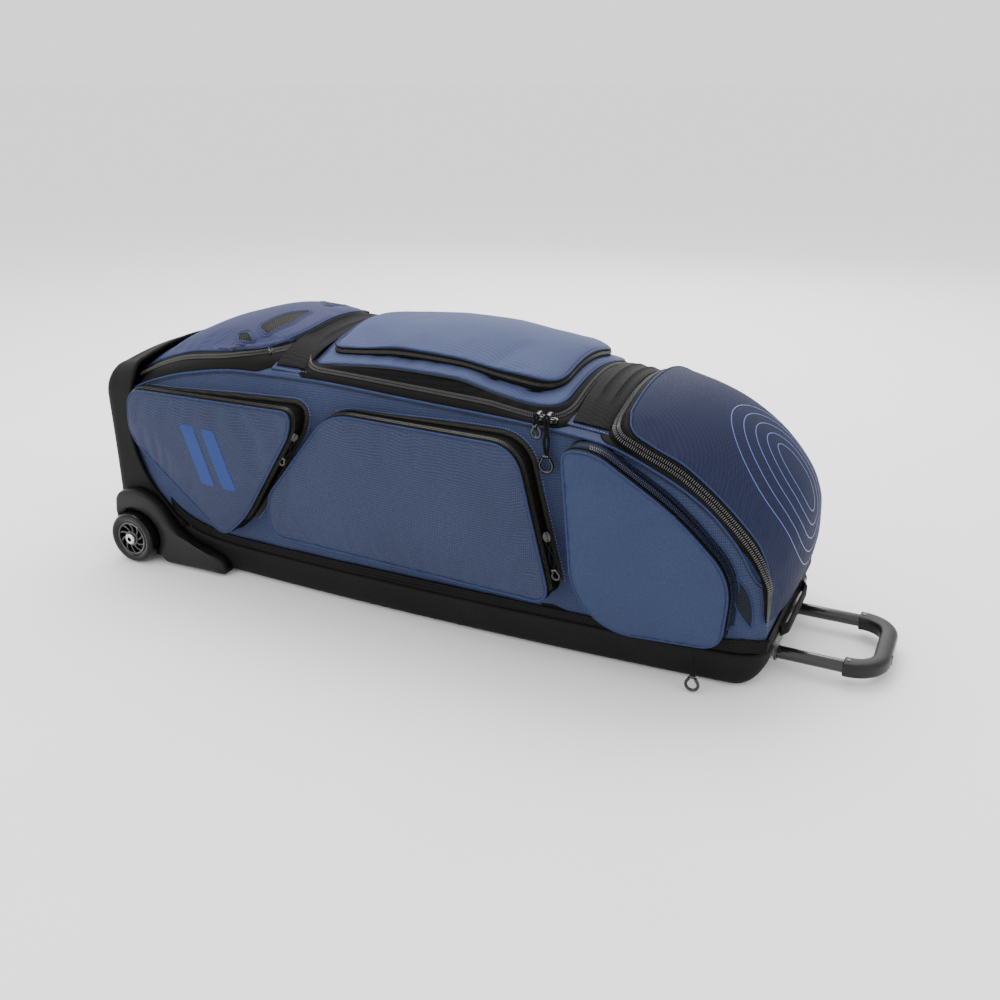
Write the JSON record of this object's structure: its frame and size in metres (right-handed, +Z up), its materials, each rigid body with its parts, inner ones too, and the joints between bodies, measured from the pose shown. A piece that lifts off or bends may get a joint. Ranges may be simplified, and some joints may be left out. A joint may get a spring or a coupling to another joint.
{
  "type": "wheeled team sports equipment bag",
  "caption": "Long wheeled equipment bag on a moulded tray, with zipped fabric lids and side pockets, grab straps, skate wheels and a telescoping pull handle.",
  "frame": {"origin": "on the floor under the middle of the bag's overall box", "axes": "+X from the wheels to the pull handle, +Z up, the bag lying on its moulded tray; Y is across the bag"},
  "size_m": [1.083, 0.3754, 0.3706],
  "materials": {
    "eva_shell": "moulded foam skin, fine grain, matte",
    "navy_fabric": "woven polyester, padded, slight sheen",
    "navy_panel": "coarser woven polyester pocket panels",
    "dark_navy_fabric": "darker woven polyester",
    "black_webbing": "woven tape, padded strap and gusset fabric",
    "black_mesh": "open spacer mesh",
    "stiffener": "plain sheet",
    "moulded_plastic": "fine moulded grain, satin",
    "wheel_rubber": "smooth cast urethane, glossy",
    "steel": "bright plated",
    "black_gloss": "glossy black"
  },
  "bodies": {
    "bag": {"base_tray": "eva_shell", "end_shell": "eva_shell", "rim_band": "black_webbing", "floor_board": "stiffener", "body_shell": "navy_fabric", "rear_divider": "stiffener", "front_divider": "stiffener", "rear_pocket_wall_near": "black_webbing", "rear_pocket_wall_far": "black_webbing", "middle_pocket_wall_near": "black_webbing", "middle_pocket_wall_far": "black_webbing", "front_pocket_wall_near": "black_webbing", "front_pocket_wall_far": "black_webbing", "rear_grab_strap": "black_webbing", "front_grab_strap": "black_webbing", "guide_tube_near": "steel", "guide_tube_far": "steel", "guide_bracket": "moulded_plastic", "handle_bezel": "moulded_plastic", "end_handle": "black_webbing", "wheel_housing_near": "moulded_plastic", "wheel_housing_far": "moulded_plastic", "axle_bolt_near": "steel", "axle_bolt_far": "steel", "main_slider_front": "black_gloss"},
    "vent_lid": {"vent_lid": "navy_fabric", "vent_mesh_near": "black_mesh", "vent_mesh_far": "black_mesh"},
    "main_lid": {"main_lid": "navy_fabric", "top_pocket_wall": "black_webbing"},
    "top_flap": {"top_pocket_flap": "navy_fabric"},
    "nose_lid": {"nose_lid": "dark_navy_fabric"},
    "rear_flap_near": {"rear_pocket_flap_near": "navy_panel"},
    "rear_flap_far": {"rear_pocket_flap_far": "navy_panel"},
    "middle_flap_near": {"middle_pocket_flap_near": "navy_panel"},
    "middle_flap_far": {"middle_pocket_flap_far": "navy_panel"},
    "front_flap_near": {"front_pocket_flap_near": "navy_panel"},
    "front_flap_far": {"front_pocket_flap_far": "navy_panel"},
    "wheel_near": {"tyre_near": "wheel_rubber", "hub_near": "black_gloss", "bearing_inner_near": "steel", "bearing_outer_near": "steel"},
    "wheel_far": {"tyre_far": "wheel_rubber", "hub_far": "black_gloss", "bearing_inner_far": "steel", "bearing_outer_far": "steel"},
    "handle": {"handle_tube_near": "black_gloss", "handle_tube_far": "black_gloss", "handle_grip": "moulded_plastic"},
    "release": {"release_button": "moulded_plastic", "push_rod_near": "steel", "push_rod_far": "steel"},
    "main_slider": {"main_slider_rear": "black_gloss"},
    "main_pull_rear": {"main_pull_rear": "black_webbing"},
    "main_pull_front": {"main_pull_front": "black_webbing"},
    "rear_pull_near": {"rear_pocket_pull_near": "black_webbing"},
    "rear_pull_far": {"rear_pocket_pull_far": "black_webbing"},
    "middle_pull_near": {"middle_pocket_pull_near": "black_webbing"},
    "middle_pull_far": {"middle_pocket_pull_far": "black_webbing"},
    "tray_pull": {"tray_pull": "black_webbing"}
  },
  "joints": [
    {"name": "wheel_near_spin", "type": "hinge", "parent": "bag", "child": "wheel_near", "pos_m": [-0.4915, -0.1685, 0.038], "axis": [0, 1, 0], "continuous": true},
    {"name": "wheel_far_spin", "type": "hinge", "parent": "bag", "child": "wheel_far", "pos_m": [-0.4915, 0.1685, 0.038], "axis": [0, 1, 0], "continuous": true},
    {"name": "handle_slide", "type": "slide", "parent": "bag", "child": "handle", "axis": [1, 0, 0], "range_m": [-0.07, 0.4]},
    {"name": "release_press", "type": "slide", "parent": "handle", "child": "release", "axis": [-1, 0, 0], "range_m": [0, 0.004], "stiffness_N_per_m": 500},
    {"name": "vent_lid_open", "type": "hinge", "parent": "bag", "child": "vent_lid", "pos_m": [-0.4675, 0, 0.29], "axis": [0, -1, 0], "range_deg": [0, 75]},
    {"name": "main_lid_open", "type": "hinge", "parent": "bag", "child": "main_lid", "pos_m": [-0.1915, 0.124, 0.3195], "axis": [-0.9987, 0, 0.0507], "range_deg": [0, 95]},
    {"name": "top_pocket_open", "type": "hinge", "parent": "main_lid", "child": "top_flap", "pos_m": [-0.1755, 0.102, 0.3525], "axis": [-0.9988, 0, 0.048], "range_deg": [0, 75]},
    {"name": "nose_lid_open", "type": "hinge", "parent": "bag", "child": "nose_lid", "pos_m": [0.4155, 0, 0.066], "axis": [0, 1, 0], "range_deg": [0, 80]},
    {"name": "rear_flap_near_open", "type": "hinge", "parent": "bag", "child": "rear_flap_near", "pos_m": [-0.3255, -0.16819, 0.0715], "axis": [0.996, -0.0889, 0], "range_deg": [0, 75]},
    {"name": "rear_flap_far_open", "type": "hinge", "parent": "bag", "child": "rear_flap_far", "pos_m": [-0.3255, 0.16819, 0.0715], "axis": [-0.996, -0.0889, 0], "range_deg": [0, 75]},
    {"name": "middle_flap_near_open", "type": "hinge", "parent": "bag", "child": "middle_flap_near", "pos_m": [-0.0415, -0.17237, 0.0852], "axis": [0.9993, -0.0379, -0.0048], "range_deg": [0, 75]},
    {"name": "middle_flap_far_open", "type": "hinge", "parent": "bag", "child": "middle_flap_far", "pos_m": [-0.0415, 0.17237, 0.0852], "axis": [-0.9993, -0.0379, 0.0048], "range_deg": [0, 75]},
    {"name": "front_flap_near_open", "type": "hinge", "parent": "bag", "child": "front_flap_near", "pos_m": [0.2985, -0.16426, 0.0602], "axis": [0.9934, 0.115, 0], "range_deg": [0, 75]},
    {"name": "front_flap_far_open", "type": "hinge", "parent": "bag", "child": "front_flap_far", "pos_m": [0.2985, 0.16426, 0.0602], "axis": [-0.9934, 0.115, 0], "range_deg": [0, 75]},
    {"name": "main_slider_run", "type": "slide", "parent": "bag", "child": "main_slider", "axis": [-0.9985, 0, 0.054], "range_m": [0, 0.27]},
    {"name": "main_pull_rear_swing", "type": "hinge", "parent": "main_slider", "child": "main_pull_rear", "pos_m": [0.1365, -0.155, 0.304], "axis": [-1, 0, 0], "range_deg": [0, 110]},
    {"name": "main_pull_front_swing", "type": "hinge", "parent": "bag", "child": "main_pull_front", "pos_m": [0.1495, -0.155, 0.304], "axis": [-1, 0, 0], "range_deg": [0, 110]},
    {"name": "rear_pocket_zip_near", "type": "slide", "parent": "bag", "child": "rear_pull_near", "axis": [-0.5547, 0, -0.8321], "range_m": [0, 0.07]},
    {"name": "rear_pocket_zip_far", "type": "slide", "parent": "bag", "child": "rear_pull_far", "axis": [-0.5547, 0, -0.8321], "range_m": [0, 0.07]},
    {"name": "middle_pocket_zip_near", "type": "slide", "parent": "bag", "child": "middle_pull_near", "axis": [-0.2487, 0, 0.9686], "range_m": [0, 0.08]},
    {"name": "middle_pocket_zip_far", "type": "slide", "parent": "bag", "child": "middle_pull_far", "axis": [-0.2487, 0, 0.9686], "range_m": [0, 0.08]},
    {"name": "tray_pull_swing", "type": "hinge", "parent": "bag", "child": "tray_pull", "pos_m": [0.3395, -0.162, 0.052], "axis": [-1, 0, 0], "range_deg": [-10, 60]}
  ]
}
